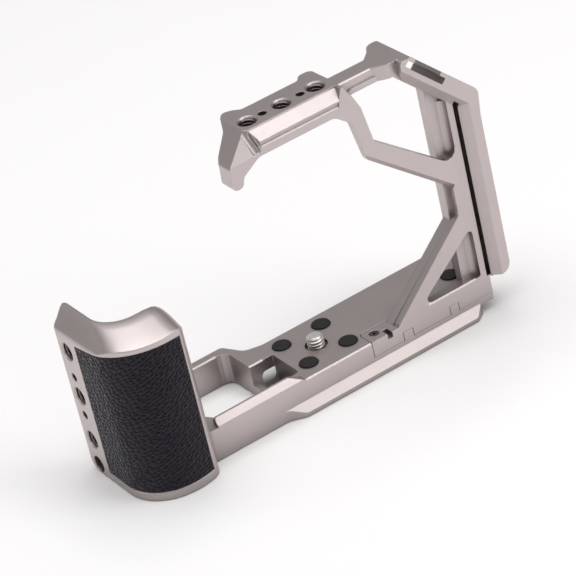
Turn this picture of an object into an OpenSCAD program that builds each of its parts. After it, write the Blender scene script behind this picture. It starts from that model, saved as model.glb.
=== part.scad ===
// Camera cage: a base plate with a captive camera screw, a side arm with
// a holed top rail and a cold shoe, and a leather-covered hand grip.
// X runs along the base to the arm, Y runs to the back, Z is up.
// The origin is on the screw axis in the plane of the base's underside.

/* [Base] */
// thickness of the base plate
base_t = 12.4; // [11:0.1:15]
// width of the base between its two straight edges
base_w = 32; // [30:0.5:34]
// screw axis to the base's right end
base_right = 66.9; // [64:0.1:69]
// how far each dovetail flange stands out
flange_out = 3; // [2.5:0.1:3.5]
// height of a flange's upright edge
flange_edge = 1.5; // [1:0.1:2]
// width of the front bar
bar_front_w = 6.3; // [5:0.1:7]
// width of the back bar
bar_back_w = 3.6; // [3:0.1:5]
// screw axis to the outer side of the back bar
bar_back_y = 27; // [26:0.1:29]
// height of the front bar's raised lip above the base
lip_h = 2.8; // [2:0.1:4]

/* [Camera screw] */
// thread diameter of a quarter-inch screw
screw_d = 6.35; // [6:0.05:6.6]
// how far the screw stands above the base
screw_out = 4; // [3:0.1:4.5]
// diameter of the screw's head
head_d = 13; // [11:0.1:14]
// thickness of the screw's head
head_t = 2.4; // [2:0.1:3]
// free drop of the screw
screw_drop = 2.2; // [1.5:0.1:2.6]

/* [Pads] */
// diameter of a rubber pad
pad_d = 7; // [6:0.1:8]
// height of a pad above the base
pad_proud = 0.6; // [0.3:0.1:1]
// depth of a pad's recess
pad_sunk = 1; // [0.6:0.1:1.5]
// screw axis to the four pads, along the base and across it
pad_pitch = 17.4; // [16.5:0.1:19]

/* [Arm] */
// height of the rail's top above the underside
total_h = 111.8; // [110:0.1:116]
// screw axis to the arm's outer side
side_x = 74.5; // [73.5:0.1:78]
// thickness of the arm's front plate
plate_t = 3.2; // [2.8:0.1:3.6]
// thickness of the arm's second layer
web_t = 3.6; // [3:0.1:4]
// height of the top rail
rail_h = 9.4; // [8.5:0.1:10.5]
// thickness of the top bar between the rail and the cold shoe
bar_top_h = 5.4; // [4.5:0.1:6]
// depth of the foot tabs let into the base
tab_deep = 6.1; // [5.5:0.1:6.6]
// depth of the step in the base that carries the arm's plate
step_deep = 2.7; // [2:0.1:3.5]

/* [Holes for accessories] */
// spacing of the rail's threaded holes
rail_pitch = 14.25; // [13.5:0.05:15]
// spacing of the grip's threaded holes
grip_pitch = 18.5; // [17:0.1:19]
// diameter of the small locating holes
pin_hole_d = 3.2; // [2.5:0.1:3.6]
// width of the countersink round a threaded hole
sink_w = 0.6; // [0.4:0.1:1]

/* [Cold shoe] */
// width of the shoe's slot
shoe_w = 18.6; // [18.2:0.1:19]
// width between the shoe's lips
shoe_gap = 12.8; // [12.5:0.1:13.2]
// height of the shoe's slot
shoe_slot_h = 2.4; // [2:0.1:2.6]
// thickness of the shoe's lips
shoe_lip_t = 1.5; // [1.2:0.1:1.8]

/* [Grip] */
// screw axis to the grip's outer face
grip_left = 88; // [87:0.1:90]
// screw axis to the grip's inner end face
grip_right = 58.2; // [57:0.1:59]
// screw axis to the grip's back edge
grip_back = 18.9; // [17:0.1:20.5]
// screw axis to the grip's nose
grip_nose = 24.9; // [24:0.1:27]
// height of the grip's highest crest
grip_h = 65.5; // [64:0.1:70]
// thickness of the grip's side wall
grip_wall = 7; // [6.6:0.1:8]
// thickness of the leather
leather_t = 1.1; // [0.9:0.1:1.3]
// how far the leather stands out of its recess
leather_proud = 0.2; // [0.1:0.05:0.3]
// width of the metal rim left round the leather
rim_w = 3.4; // [2.5:0.1:4]

/* [Hidden] */
$fn = 64;

metal = [0.73, 0.68, 0.67];
steel = [0.66, 0.66, 0.68];
rubber = [0.11, 0.11, 0.12];
leather = [0.13, 0.12, 0.13];

// small gaps and overruns
fit = 0.1;        // between fixed pieces
run_fit = 0.08;   // between the screw and its bore, on the radius
over = 1;         // overrun of every cut
bond = 0.05;      // overlap inside one piece
edge = 0.5;       // small bevels on sharp edges
arc_len = 1.3;     // longest chord of a rounded corner

half_w = base_w / 2;
face_y = -half_w;                  // front face of base and arm
flank_h = flange_edge + flange_out;
out_y = half_w + flange_out;

// Outlines with rounded corners, each point is [x, y, radius]
function unit(a) = a / norm(a);
function mixed(a, b, s) = a * (1 - s) + b * s;
function flat(p) = [p[0], p[1]];
function turned(d) = d > 180 ? d - 360 : d < -180 ? d + 360 : d;
function steps(r) = max(4, ceil(r / arc_len));
function corner(a, b, c) =
    b[2] <= 0 ? [flat(b)] :
    let (u = unit(flat(a) - flat(b)), w = unit(flat(c) - flat(b)),
        half = acos(u * w) / 2,
        mid = flat(b) + unit(u + w) * (b[2] / sin(half)),
        p = flat(b) + u * (b[2] / tan(half)) - mid,
        q = flat(b) + w * (b[2] / tan(half)) - mid,
        from = atan2(p[1], p[0]),
        sweep = turned(atan2(q[1], q[0]) - from))
    [for (i = [0:steps(b[2])]) mid + b[2] *
        [cos(from + sweep * i / steps(b[2])), sin(from + sweep * i / steps(b[2]))]];
function rounded(v) = [for (i = [0:len(v) - 1])
    each corner(v[(i + len(v) - 1) % len(v)], v[i], v[(i + 1) % len(v)])];
// an outline in shares of its width and height, with its roundings in shares of r
function scaled(v, w, h, r) = [for (p = v) [p[0] * w, p[1] * h, p[2] * r]];

module plan(v, z0, z1) {
    translate([0, 0, z0]) linear_extrude(z1 - z0) polygon(rounded(v));
}
// an outline seen from the front, in X and Z, between two depths
module front(v, y0, y1) {
    translate([0, y1, 0]) rotate([90, 0, 0]) linear_extrude(y1 - y0) polygon(rounded(v));
}
// an outline seen from the right, in Y and Z, between two places along X
module side(v, x0, x1) {
    translate([x0, 0, 0]) rotate([90, 0, 90]) linear_extrude(x1 - x0) polygon(rounded(v));
}
module block(x0, x1, y0, y1, z0, z1) {
    translate([x0, y0, z0]) cube([x1 - x0, y1 - y0, z1 - z0]);
}
module hole_z(x, y, z0, z1, d) { translate([x, y, z0]) cylinder(h = z1 - z0, d = d); }
module hole_x(x0, x1, y, z, d) {
    translate([x0, y, z]) rotate([0, 90, 0]) cylinder(h = x1 - x0, d = d);
}
module hole_y(x, y0, y1, z, d) {
    translate([x, y1, z]) rotate([90, 0, 0]) cylinder(h = y1 - y0, d = d);
}
// a rod between two points
module rod(a, b, d) {
    v = b - a;
    translate(a) rotate([0, acos(v[2] / norm(v)), atan2(v[1], v[0])]) cylinder(h = norm(v), d = d);
}
// countersunk screw along Z with its head up, its top in the plane z = 0
module sunk_screw(d, len) {
    head = d * sunk_head_share;
    sink = (head - d) / 2;
    difference() {
        union() {
            translate([0, 0, -len]) cylinder(h = len - bond, d = d);
            translate([0, 0, -sink]) cylinder(h = sink, d1 = d, d2 = head);
        }
        translate([0, 0, -sink * hex_deep_share]) cylinder(h = sink + over, d = d * hex_share, $fn = 6);
    }
}
sunk_head_share = 1.9;
hex_deep_share = 1.3;
hex_share = 0.62;
cap_head_share = 1.7;
// socket cap screw along Z with its head up, its top in the plane z = 0
module cap_screw(d, len) {
    difference() {
        union() {
            translate([0, 0, -d]) cylinder(h = d, d = d * cap_head_share);
            translate([0, 0, -d - len]) cylinder(h = len + bond, d = d);
        }
        translate([0, 0, -d * hex_share]) cylinder(h = d, d = d * hex_share * hex_deep_share, $fn = 6);
    }
}

// Base
door_left = -74.6;                 // inner end of the door opening
door_right = -24.4;                // its web on the right
pocket_l = -22;                    // pocket side of the low web
pocket_r = -14.2;
pocket_back = 7.6;
web_low = 4.5;                     // height of the low web beside the pocket
inner_y = face_y + bar_front_w;
tunnel_l = -20.2;
tunnel_r = -13;
tunnel_h = 7.6;
tunnel_floor = 1.2;                // lower edge of its mouth in the pocket's back wall
tunnel_wall = 2.6;                 // thickness of that wall
tunnel_out = -8;                   // right side of the tunnel behind it
seat_y = -9;                       // inner side of the grip's front wall
seat_r = 11;                       // rounding between the two
rail_w = 6;                        // width of the base's rail inside the grip
wall_x = -grip_left + grip_wall;
corner_r = 4;
flange_l = -25.4;
flange_lip = -19.6;
flange_blend = 9;                  // rounding where the front flange leaves the face
flange_r = 61;
flange_tip = 57;
foot_clear = 3.6;                  // height of the relief under the right end
lip_left = -53;
lip_right = -15.5;
lip_flat = -21;
lip_rise = 2.2;
lip_top = 1;

back_turn = 13;                    // where the back edge leaves the straight
back_dip = 19.6;                   // middle of its turn to the back bar
back_end = 24;
base_outline = [
    [base_right, face_y, edge], [base_right, half_w, 4 * edge],
    [-back_turn, half_w, corner_r], [-back_dip, half_w + corner_r / 2, corner_r],
    [-back_end, bar_back_y, corner_r / 2],
    [wall_x + 3 * rail_w / 2, bar_back_y, corner_r],
    [wall_x + fit, grip_back, corner_r / 2],
    [wall_x + fit, seat_y + fit, seat_r], [-grip_right + fit, seat_y + fit, 0],
    [-grip_right + fit, face_y, corner_r / 2]];
door_outline = [
    [door_left, bar_back_y - bar_back_w, corner_r], [door_left, seat_y + rail_w, corner_r],
    [-grip_right + corner_r, seat_y + rail_w, corner_r / 2],
    [-grip_right + 2 * corner_r, inner_y, corner_r / 2],
    [door_right, inner_y, corner_r], [door_right, bar_back_y - bar_back_w, corner_r]];
pocket_outline = [[pocket_l, inner_y - edge / 2, edge], [pocket_r, inner_y, 3 * edge],
    [pocket_r, pocket_back, edge], [pocket_l, pocket_back, edge]];
flange_outline = [[flange_l - flange_blend, face_y + over, 0], [flange_l - flange_blend, face_y, 0],
    [flange_l, face_y, flange_blend],
    [flange_lip, -out_y, corner_r], [flange_tip, -out_y, corner_r / 2],
    [flange_r, face_y, corner_r / 2], [flange_r, face_y + over, 0]];
flange_section = [[face_y + bond, 0, 0], [-out_y, 0, 0], [-out_y, flange_edge, 0],
    [face_y + bond, flank_h + bond, 0]];
lip_section = [[face_y, base_t - bond, 0], [face_y, base_t + edge, 0],
    [face_y + lip_rise, base_t + lip_h, 0], [face_y + lip_rise + lip_top, base_t + lip_h, 0],
    [face_y + lip_rise + lip_top, base_t - bond, 0]];
lip_outline = [[lip_left, base_t - over, 0], [lip_left, base_t + lip_h, lip_h / 2],
    [lip_flat, base_t + lip_h, lip_h], [lip_right, base_t, 0], [lip_right, base_t - over, 0]];

// places of the foot tabs along the base, left and right end of each
foot_left = 13.5;
plate_left = 22;
tooth_1 = [26.7, 31.2];
tooth_2 = [47.7, 51.8];
tab_back = -8;                     // inner side of the tabs
tab_z = base_t - tab_deep;
step_z = base_t - step_deep;
tabs = [[foot_left, tooth_1[0]], [tooth_1[1], tooth_2[0]], [tooth_2[1], base_right]];
notch_x = 20.4;                    // end of the notch beside the plate
top_screw_x = 17.7;
top_screw_y = -11.3;
top_screw_d = 2;
foot_screw_d = 4;
foot_screw_y = (face_y + tab_back) / 2;
foot_screw_x = [for (i = [1:2]) (tabs[i][0] + min(tabs[i][1], flange_tip)) / 2];

module foot_space(c) {
    for (t = tabs) plan([[t[0] - c, face_y - over, 0], [t[0] - c, tab_back + c, 3 * edge],
        [t[1] + c, tab_back + c, 3 * edge], [t[1] + c, face_y - over, 0]],
        tab_z - fit, t[0] == foot_left ? base_t + over : step_z);
    block(plate_left - c, base_right + over, face_y - over, tab_back + c, step_z - fit, base_t + over);
}

// Camera screw
ring_t = 0.9;
ring_z = 0.6;
ring_wide = 0.8;                   // depth of the snap ring's groove
pocket_d = head_d + 4 * edge;
washer_t = 0.8;
web_z = ring_z + ring_t + screw_drop + head_t + washer_t + fit;
top_sink_d = 8.4;
top_sink = 1.6;
head_top = web_z - washer_t;       // head raised against the washer
screw_bore_d = screw_d + 2 * run_fit;

// Pads
pad_x = pad_pitch / 2;
pad_back = 0.9;                    // the four pads are set this far back of the screw
pad_arm_x = 58.6;
pad_arm_y = -2.3;
pad_spots = [[-pad_x, pad_back - pad_x], [pad_x, pad_back - pad_x],
    [-pad_x, pad_back + pad_x], [pad_x, pad_back + pad_x],
    [pad_arm_x, pad_arm_y]];

// Fixings in the grip
side_screw_y = 12.1;
side_screw_z = 3.7;
side_screw_d = 3;
side_hole_d = 6.4;
side_hole_deep = 4.5;
front_screw_d = 3;
front_screw_z = base_t / 2;
front_screw_x = [-70, -62.5];
front_screw_len = 9;

// cuts the bevel of an upper edge that faces the front
module top_bevel(x0, x1, y) {
    side([[y - over, base_t + over, 0], [y - over, base_t - edge - over, 0], [y, base_t - edge, 0],
        [y + edge, base_t, 0], [y + edge, base_t + over, 0]], x0, x1);
}
module base_plate() {
    color(metal) difference() {
        union() {
            difference() {
                plan(base_outline, 0, base_t);
                // small bevel along the front top edge
                side([[face_y - over, base_t - edge - over, 0], [face_y - over, base_t + over, 0],
                    [face_y + edge + over, base_t + over, 0]], lip_right, plate_left);
            }
            for (k = [0, 1]) mirror([0, k, 0]) intersection() {
                side(flange_section, k ? -back_turn : flange_l - flange_blend, flange_r);
                plan(flange_outline, 0, flank_h + over);
            }
            intersection() {
                side(lip_section, lip_left - over, lip_right + over);
                front(lip_outline, face_y - over, inner_y);
            }
        }
        plan(door_outline, -over, base_t + over);
        plan(pocket_outline, -over, base_t + over);
        // the web between the door opening and the pocket is low
        block(door_right - over, pocket_l + over, inner_y, pocket_back, web_low, base_t + over);
        // strap tunnel from the pocket to the back, open below behind its mouth
        front([[tunnel_l, tunnel_floor, 4 * edge], [tunnel_r, tunnel_floor, 4 * edge],
            [tunnel_r, tunnel_h, 4 * edge], [tunnel_l, tunnel_h, 4 * edge]],
            pocket_back - over, pocket_back + tunnel_wall + over);
        front([[tunnel_l, -over, 0], [tunnel_out, -over, 0], [tunnel_out, tunnel_h, 4 * edge],
            [tunnel_l, tunnel_h, 4 * edge]], pocket_back + tunnel_wall, bar_back_y);
        // relief under the right end
        block(flange_r, base_right + over, -out_y, out_y, -over, foot_clear);
        // small bevels along the back of the door opening and of the pocket
        top_bevel(door_left + corner_r, door_right - corner_r, bar_back_y - bar_back_w);
        top_bevel(door_right, pocket_r - corner_r, pocket_back);
        foot_space(2 * fit);
        // screw bore, its pocket below, its sink above and the ring's groove
        hole_z(0, 0, -over, base_t + over, screw_bore_d);
        hole_z(0, 0, -over, web_z, pocket_d);
        hole_z(0, 0, base_t - top_sink, base_t + over, top_sink_d);
        hole_z(0, 0, ring_z, ring_z + ring_t, pocket_d + 2 * ring_wide);
        for (p = pad_spots) hole_z(p[0], p[1], base_t - pad_sunk, base_t + over, pad_d + 2 * fit);
        // arm screws
        hole_z(top_screw_x, top_screw_y, edge, base_t + over, top_screw_d);
        for (x = foot_screw_x) {
            hole_z(x, foot_screw_y, -over, base_t, foot_screw_d + 2 * fit);
            translate([x, foot_screw_y, -over]) cylinder(h = over + bond,
                d = foot_screw_d * sunk_head_share + 2 * fit);
            translate([x, foot_screw_y, 0]) cylinder(h = foot_screw_d * (sunk_head_share - 1) / 2,
                d1 = foot_screw_d * sunk_head_share + 2 * fit, d2 = foot_screw_d + 2 * fit);
        }
        // grip screws
        hole_x(wall_x - over, door_left - edge, side_screw_y, side_screw_z, side_screw_d);
        for (x = front_screw_x) {
            hole_y(x, seat_y - over, seat_y + rail_w + over, front_screw_z, front_screw_d + 2 * fit);
            hole_y(x, seat_y + rail_w - front_screw_d, seat_y + rail_w + corner_r, front_screw_z,
                front_screw_d * cap_head_share + 2 * fit);
        }
    }
}

module camera_screw() {
    tip = base_t + screw_out;
    color(steel) difference() {
        union() {
            hole_z(0, 0, head_top - head_t, head_top, head_d);
            hole_z(0, 0, head_top - bond, base_t - relief_h, screw_d);
            hole_z(0, 0, base_t - relief_h - bond, base_t + bond, screw_d - 2 * edge);
            hole_z(0, 0, base_t, tip - edge, screw_d);
            translate([0, 0, tip - edge]) cylinder(h = edge, d1 = screw_d, d2 = screw_d - 2 * edge);
        }
        // slot for a coin
        block(-head_d, head_d, -slot_w / 2, slot_w / 2, head_top - head_t - over, head_top - head_t / 2);
    }
}
slot_w = 2;                        // coin slot in the head
relief_h = 1;                      // undercut below the thread

module screw_washer() {
    color(rubber) difference() {
        hole_z(0, 0, web_z - washer_t, web_z, head_d - 2 * edge);
        hole_z(0, 0, web_z - washer_t - over, web_z + over, screw_d + 2 * run_fit);
    }
}

module snap_ring() {
    color(steel) difference() {
        hole_z(0, 0, ring_z, ring_z + ring_t, pocket_d + 2 * ring_wide - 2 * fit);
        hole_z(0, 0, ring_z - over, ring_z + ring_t + over, pocket_d - 4 * ring_wide);
        block(-ring_wide, ring_wide, 0, pocket_d, ring_z - over, ring_z + ring_t + over);
    }
}

module pad(p) {
    color(rubber) union() {
        hole_z(p[0], p[1], base_t - pad_sunk, base_t + pad_proud - edge / 2, pad_d);
        translate([p[0], p[1], base_t + pad_proud - edge / 2 - bond])
            cylinder(h = edge / 2 + bond, d1 = pad_d, d2 = pad_d - edge);
    }
}

// Side arm, its outlines are seen from the front
band_w = 3.9;                      // flat front of the side dovetail
groove_w = 1.8;
stile_w = 2.5;
web_show = 6.2;                    // how far the second layer shows in the windows
floor_r = 2.7;                     // rounding between the stile and the second layer
post_set = 5;                      // inner side of the post behind the second layer
band_x = side_x - band_w;
flank_x = band_x - flange_out;
stile_x = flank_x - groove_w;
stile_in = stile_x - stile_w;
web_x = stile_in - web_show;
post_in = web_x + post_set;
layer_y = face_y + plate_t;
web_y = layer_y + web_t;
arm_back = 0;
rail_low = total_h - rail_h;
bar_low = total_h - bar_top_h;
hump_x = 51.5;                     // where the top turns into the slope
slope_sum = total_h + hump_x;      // x + z on the sloped face
slope_z = slope_sum - side_x;
slope_block = 12.5;                // depth of the sloped block, measured along X
slope_band = 8.2;                  // its band, measured the same way
block_sum = slope_sum - slope_block;
band_z = 13.2;                     // lower end of the dovetail band
band_left = 46.5;
swell = 0.9;                       // the outer side swells a little towards the slope
swell_z = 78;
sill_h = 2.6;
sill_z = base_t + sill_h;
sill_deep = 4.5;
outer_r = 4;
small_r = 2;

plate_shares = [[0.796, 0.3837, 0.027], [0.796, 0.4839, 0.027], [0.3758, 0.7236, 0.051],
    [0.333, 0.8712, 0.027]];
hook_shares = [[-0.2738, 0.8757, 0.03], [-0.2846, 0.8444, 0.027], [-0.3436, 0.8444, 0.027],
    [-0.3369, 0.9213, 0.021]];
window_shares = [[0.3973, 0.906, 0.027], [0.428, 0.778, 0.027], [0.8492, 0.5515, 0.048]];
rail_turn_x = 18.6;
hook_turn_x = -13;
rail_left = -14.4;
rail_right = 24.4;
frame_out = 2.2;                   // sloped end of the front plate beside the rail
frame_down = 4.2;
boss_out = 0.3;                    // the rail's front stands out of the plate
boss_y = face_y - boss_out;
boss_bevel = 4.1;
boss_strip = 2;
boss_low = total_h - boss_bevel - boss_strip;
boss_left = -13.2;
boss_right = 23.4;
hook_points = concat([[hook_turn_x, rail_low, outer_r + small_r]],
    scaled(hook_shares, side_x, total_h, side_x), [[rail_left, total_h, edge]]);
plate_outline = concat([[plate_left, step_z, small_r]], scaled(plate_shares, side_x, total_h, side_x),
    [[rail_turn_x, rail_low, outer_r]], hook_points,
    [[boss_left + bond, total_h, 0], [boss_left + small_r / 2 + bond, boss_low + over, 0],
     [boss_right - small_r - bond, boss_low + over, 0], [boss_right - bond, total_h, 0],
     [rail_right, total_h, 0],
     [rail_right + frame_out, total_h - frame_down, 0], [stile_in, total_h - frame_down, 0],
     [stile_in, block_sum - stile_in, 0], [flank_x + bond, block_sum - flank_x - bond, 0],
     [flank_x + bond, band_z, 0], [base_right, band_z, 0], [base_right, step_z, 0]]);
window = concat([[rail_right + frame_out, total_h - frame_down + over / 2, 0]],
    scaled(window_shares, side_x, total_h, side_x),
    [[stile_in, block_sum - stile_in, 0], [stile_in, total_h, 0]]);
tri_left = 35.5;
tri_right = 63.3;
tri_top = 36;
tri_slope = (tri_top - sill_z) / (tri_right - tri_left);
triangle = [[tri_left, sill_z, small_r], [tri_right, sill_z, small_r / 2], [tri_right, tri_top, 3 * edge]];
diag_slope = (plate_shares[0][1] * total_h - step_z) / (plate_shares[0][0] * side_x - plate_left);
web_outline = [[plate_left + (base_t - step_z) / diag_slope - edge, base_t - bond, 0],
    [web_x, step_z + (web_x - plate_left) * diag_slope, small_r],
    [web_x, block_sum - web_x, 0], [flank_x, block_sum - flank_x, 0], [flank_x, base_t - bond, 0]];
web_triangle = [[tri_left - (sill_z - base_t + over) / tri_slope, base_t - over, 0],
    [web_x, base_t - over, 0], [web_x, sill_z + (web_x - tri_left) * tri_slope, 3 * edge]];
outer_points = [[side_x, swell_z, outer_r], [side_x + swell, slope_z - swell, outer_r],
    [hump_x, total_h, 2 * edge]];
body_outline = concat([[post_in, base_t + fit, 0], [side_x, base_t + fit, outer_r]], outer_points,
    [[band_left, total_h, 0], [band_left, block_sum - band_left, 0], [post_in, block_sum - post_in, 0]]);
side_outline = concat([[flank_x, band_z - edge, 0], [side_x, band_z - edge, outer_r]], outer_points,
    [[band_left - small_r, total_h, 0], [band_left - small_r, bar_low, 0],
    [block_sum - bar_low, bar_low, 0], [flank_x, block_sum - flank_x, 0]]);
band_outline = concat([[flank_x - over, band_z, 0], [side_x, band_z, outer_r]], outer_points,
    [[band_left, total_h, 3 * edge], [band_left, bar_low, small_r],
    [flank_x - over, slope_z - flank_x / 2, 0]]);

// rail and hump seen from above, as shares of the arm's reach and the base's half width
rail_shares = [[-0.34, -0.794, 0], [-0.34, -0.581, 0.06], [-0.314, -0.431, 0.1],
    [-0.231, -0.163, 0.2], [-0.194, 0.163, 0.16], [-0.161, 0.344, 0.14], [-0.117, 0.25, 0.16],
    [-0.083, 0.106, 0.12], [0.2336, 0.106, 0.1], [0.263, 0.281, 0.16],
    [0.33, 0.281, 0.13], [0.334, -0.3875, 0.1], [0.334, -0.794, 0]];
hump_shares = [[0.32, -0.831, 0], [0.513, -0.831, 0.13], [0.577, -1, 0.13], [0.6913, -1, 0],
    [0.6913, 0.119, 0.06], [0.632, 0.119, 0.26], [0.593, -0.15, 0.13], [0.5396, -0.3875, 0.13],
    [0.32, -0.3875, 0]];
boss_outline = [[boss_left, total_h, 0], [boss_left + small_r / 2, boss_low, small_r],
    [boss_right - small_r, boss_low, small_r], [boss_right, total_h, 0]];
boss_plan = [[boss_left - small_r / 2, layer_y + over, 0], [boss_left + small_r, boss_y - over, 0],
    [boss_right, boss_y - over, 0], [boss_right, layer_y + over, 0]];
boss_section = [[boss_y, boss_low - over, 0], [boss_y, total_h - boss_bevel, 0],
    [boss_y + boss_bevel, total_h, 0], [layer_y + over, total_h, 0], [layer_y + over, boss_low - over, 0]];
boss_groove = 0.5;                 // depth of the groove under the rail's front
scoop_r = 2.6;                     // rounded groove between the hook and the rail's front
scoop_x = 1.4;
scoop_y = 1.8;
bevel_z = 103.3;
bevel_in = 4.4;
ledge_h = 2;
ledge_t = 0.6;

rail_hole_x = 4.65;
rail_hole_y = -7;
pin_off = 7.95;
pin_deep = 4;
shoe_at = 23.7;                    // slope corner to the middle of the shoe's slot

module threaded_sink_z(x, y) {
    hole_z(x, y, rail_low - over, total_h + over, screw_d);
    translate([x, y, total_h - sink_w]) cylinder(h = sink_w + bond, d1 = screw_d, d2 = screw_d + 2 * sink_w);
}

// frame of the sloped face: its origin is the corner, X points out, Z runs up the slope
module on_slope() { translate([side_x, 0, slope_z]) rotate([0, -45, 0]) children(); }

module side_arm() {
    brace_a = [plate_shares[2][0] * side_x, plate_shares[2][1] * total_h];
    brace_b = [plate_shares[1][0] * side_x, plate_shares[1][1] * total_h];
    color(metal) difference() {
        union() {
            difference() {
                union() {
                    difference() {
                        front(plate_outline, face_y, layer_y);
                        front(window, face_y - over, layer_y + over);
                        front(triangle, face_y - over, layer_y + over);
                        // bevel along the brace's lower edge
                        translate([brace_a[0], face_y, brace_a[1]])
                            rotate([0, atan2(brace_a[1] - brace_b[1], brace_b[0] - brace_a[0]), 0])
                            side([[-over, -over, 0], [-over, 3 * edge + over, 0],
                                [3 * edge + over, -over, 0]], -small_r, norm(brace_b - brace_a));
                    }
                    front(concat(hook_points, [[boss_left + bond, total_h, 0],
                        [boss_left + small_r / 2 + bond, boss_low + over, 0],
                        [hook_turn_x + outer_r, boss_low + over, 0], [hook_turn_x + outer_r, rail_low, 0]]),
                        face_y, web_y);
                }
                // the hook's upper front leans back
                side([[face_y - over, bevel_z - over * (total_h - bevel_z) / bevel_in, 0],
                    [face_y - over, total_h + over, 0],
                    [face_y + bevel_in + over * bevel_in / (total_h - bevel_z), total_h + over, 0]],
                    -grip_right, boss_left + small_r / 2 + bond);
            }
            difference() {
                front(web_outline, layer_y - bond, web_y);
                front(web_triangle, layer_y - over, web_y + over);
            }
            block(tri_left, tri_right, layer_y - bond, face_y + sill_deep, base_t - bond, sill_z);
            // round corner between the stile and the second layer
            difference() {
                block(stile_in - floor_r, stile_in + bond, layer_y - floor_r, layer_y + bond,
                    base_t, block_sum - stile_in);
                hole_z(stile_in - floor_r, layer_y - floor_r, base_t - over, total_h, 2 * floor_r);
            }
            front(body_outline, layer_y - bond, arm_back);
            front(side_outline, face_y, layer_y);
            intersection() {
                front(band_outline, -out_y, face_y + bond);
                union() {
                    plan([[band_x, -out_y, 0], [side_x + over, -out_y, 0], [side_x + over, face_y + bond, 0],
                        [flank_x - bond, face_y + bond, 0]], band_z - over, total_h);
                    on_slope() plan([[-slope_band / sqrt(2), -out_y, 0], [over, -out_y, 0],
                        [over, face_y + bond, 0],
                        [-slope_band / sqrt(2) - flange_out - bond, face_y + bond, 0]],
                        -total_h, total_h);
                }
            }
            // top rail and hump
            intersection() {
                plan(scaled(rail_shares, side_x, half_w, half_w), rail_low, total_h);
                front(concat(hook_points, [[side_x, total_h, 0], [side_x, rail_low, 0]]), -out_y, out_y);
            }
            plan(scaled(hump_shares, side_x, half_w, half_w), bar_low, total_h);
            front([[rail_right, bar_low, 0], [band_left, bar_low, 0],
                [band_left - ledge_h, bar_low + ledge_h, 0],
                [rail_right + frame_out + ledge_h, bar_low + ledge_h, small_r / 2]],
                hump_shares[0][1] * half_w - ledge_t, layer_y);
            intersection() {
                front(boss_outline, boss_y, layer_y + over);
                side(boss_section, rail_left - over, rail_right + over);
                plan(boss_plan, boss_low - over, total_h);
            }
            // foot tabs, the first one notched at the end of the plate
            difference() {
                for (t = tabs) plan([[t[0], face_y, 0], [t[0], tab_back, 3 * edge - fit],
                    [t[1], tab_back, 3 * edge - fit], [t[1], face_y, 0]],
                    tab_z, t[0] == foot_left ? base_t : step_z + over);
                front([[notch_x, base_t + over, 0], [notch_x, step_z + edge, edge],
                    [plate_left + edge, step_z + edge, 0],
                    [plate_left + edge, base_t + over, 0]], face_y - over, layer_y + edge);
            }
            block(plate_left + small_r, base_right, face_y, tab_back, step_z, base_t);
        }
        // relief groove beside the dovetail
        front([[stile_x, band_z + edge, 0], [flank_x, band_z + edge, 0],
            [flank_x, block_sum - flank_x + small_r, 0],
            [stile_x, block_sum - stile_x + small_r, 0]], -out_y, layer_y + 2 * edge);
        // small bevels on the sill and the top bar
        side([[face_y - over, sill_z - edge - over, 0], [face_y - over, sill_z + over, 0],
            [face_y + edge + over, sill_z + over, 0]], tri_left + outer_r, tri_right - small_r);
        translate([0, hump_shares[0][1] * half_w, total_h]) side([[-over, -edge - over, 0], [-over, over, 0],
            [edge + over, over, 0]], rail_right + bond, hump_shares[1][0] * side_x);
        // shoe slot along Y
        on_slope() {
            block(-shoe_lip_t - shoe_slot_h, -shoe_lip_t, -out_y - over, arm_back + small_r + over,
                shoe_at - shoe_w / 2, shoe_at + shoe_w / 2);
            block(-shoe_lip_t - bond, small_r, -out_y - over, arm_back + small_r + over,
                shoe_at - shoe_gap / 2, shoe_at + shoe_gap / 2);
        }
        for (i = [-1:1]) threaded_sink_z(rail_hole_x + i * rail_pitch, rail_hole_y);
        for (i = [-1, 1])
            hole_z(rail_hole_x + i * pin_off, rail_hole_y, total_h - pin_deep, total_h + over, pin_hole_d);
        // groove under the rail's front, and a round one at its left end
        side([[face_y - over, boss_low - boss_groove - over, 0], [face_y, boss_low - boss_groove, 0],
            [face_y + boss_groove, boss_low, 0], [boss_y, total_h - boss_bevel, 0],
            [face_y - over, total_h - boss_bevel, 0]], boss_left + small_r, boss_right - small_r);
        rod([boss_left + small_r / 2 - scoop_x, face_y - scoop_y, boss_low - small_r / 2],
            [boss_left - small_r / 2 - scoop_x, face_y + bevel_in - scoop_y, total_h + small_r], 2 * scoop_r);
        // screw holes in the foot
        hole_z(top_screw_x, top_screw_y, tab_z - over, base_t + over, top_screw_d + 2 * fit);
        translate([top_screw_x, top_screw_y, base_t - top_screw_d * (sunk_head_share - 1) / 2 - fit])
            cylinder(h = top_screw_d * (sunk_head_share - 1) / 2 + bond, d1 = top_screw_d + 2 * fit,
                d2 = top_screw_d * sunk_head_share + 2 * fit);
        hole_z(top_screw_x, top_screw_y, base_t - fit, base_t + over,
            top_screw_d * sunk_head_share + 2 * fit);
        for (x = foot_screw_x) hole_z(x, foot_screw_y, tab_z - over, base_t, foot_screw_d + fit / 2);
    }
}

module arm_top_screw() {
    color(steel) translate([top_screw_x, top_screw_y, base_t - fit])
        sunk_screw(top_screw_d, base_t - foot_clear);
}
module arm_foot_screw(i) {
    color(steel) translate([foot_screw_x[i], foot_screw_y, fit]) rotate([180, 0, 0])
        sunk_screw(foot_screw_d, base_t - 3 * edge);
}

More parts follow.
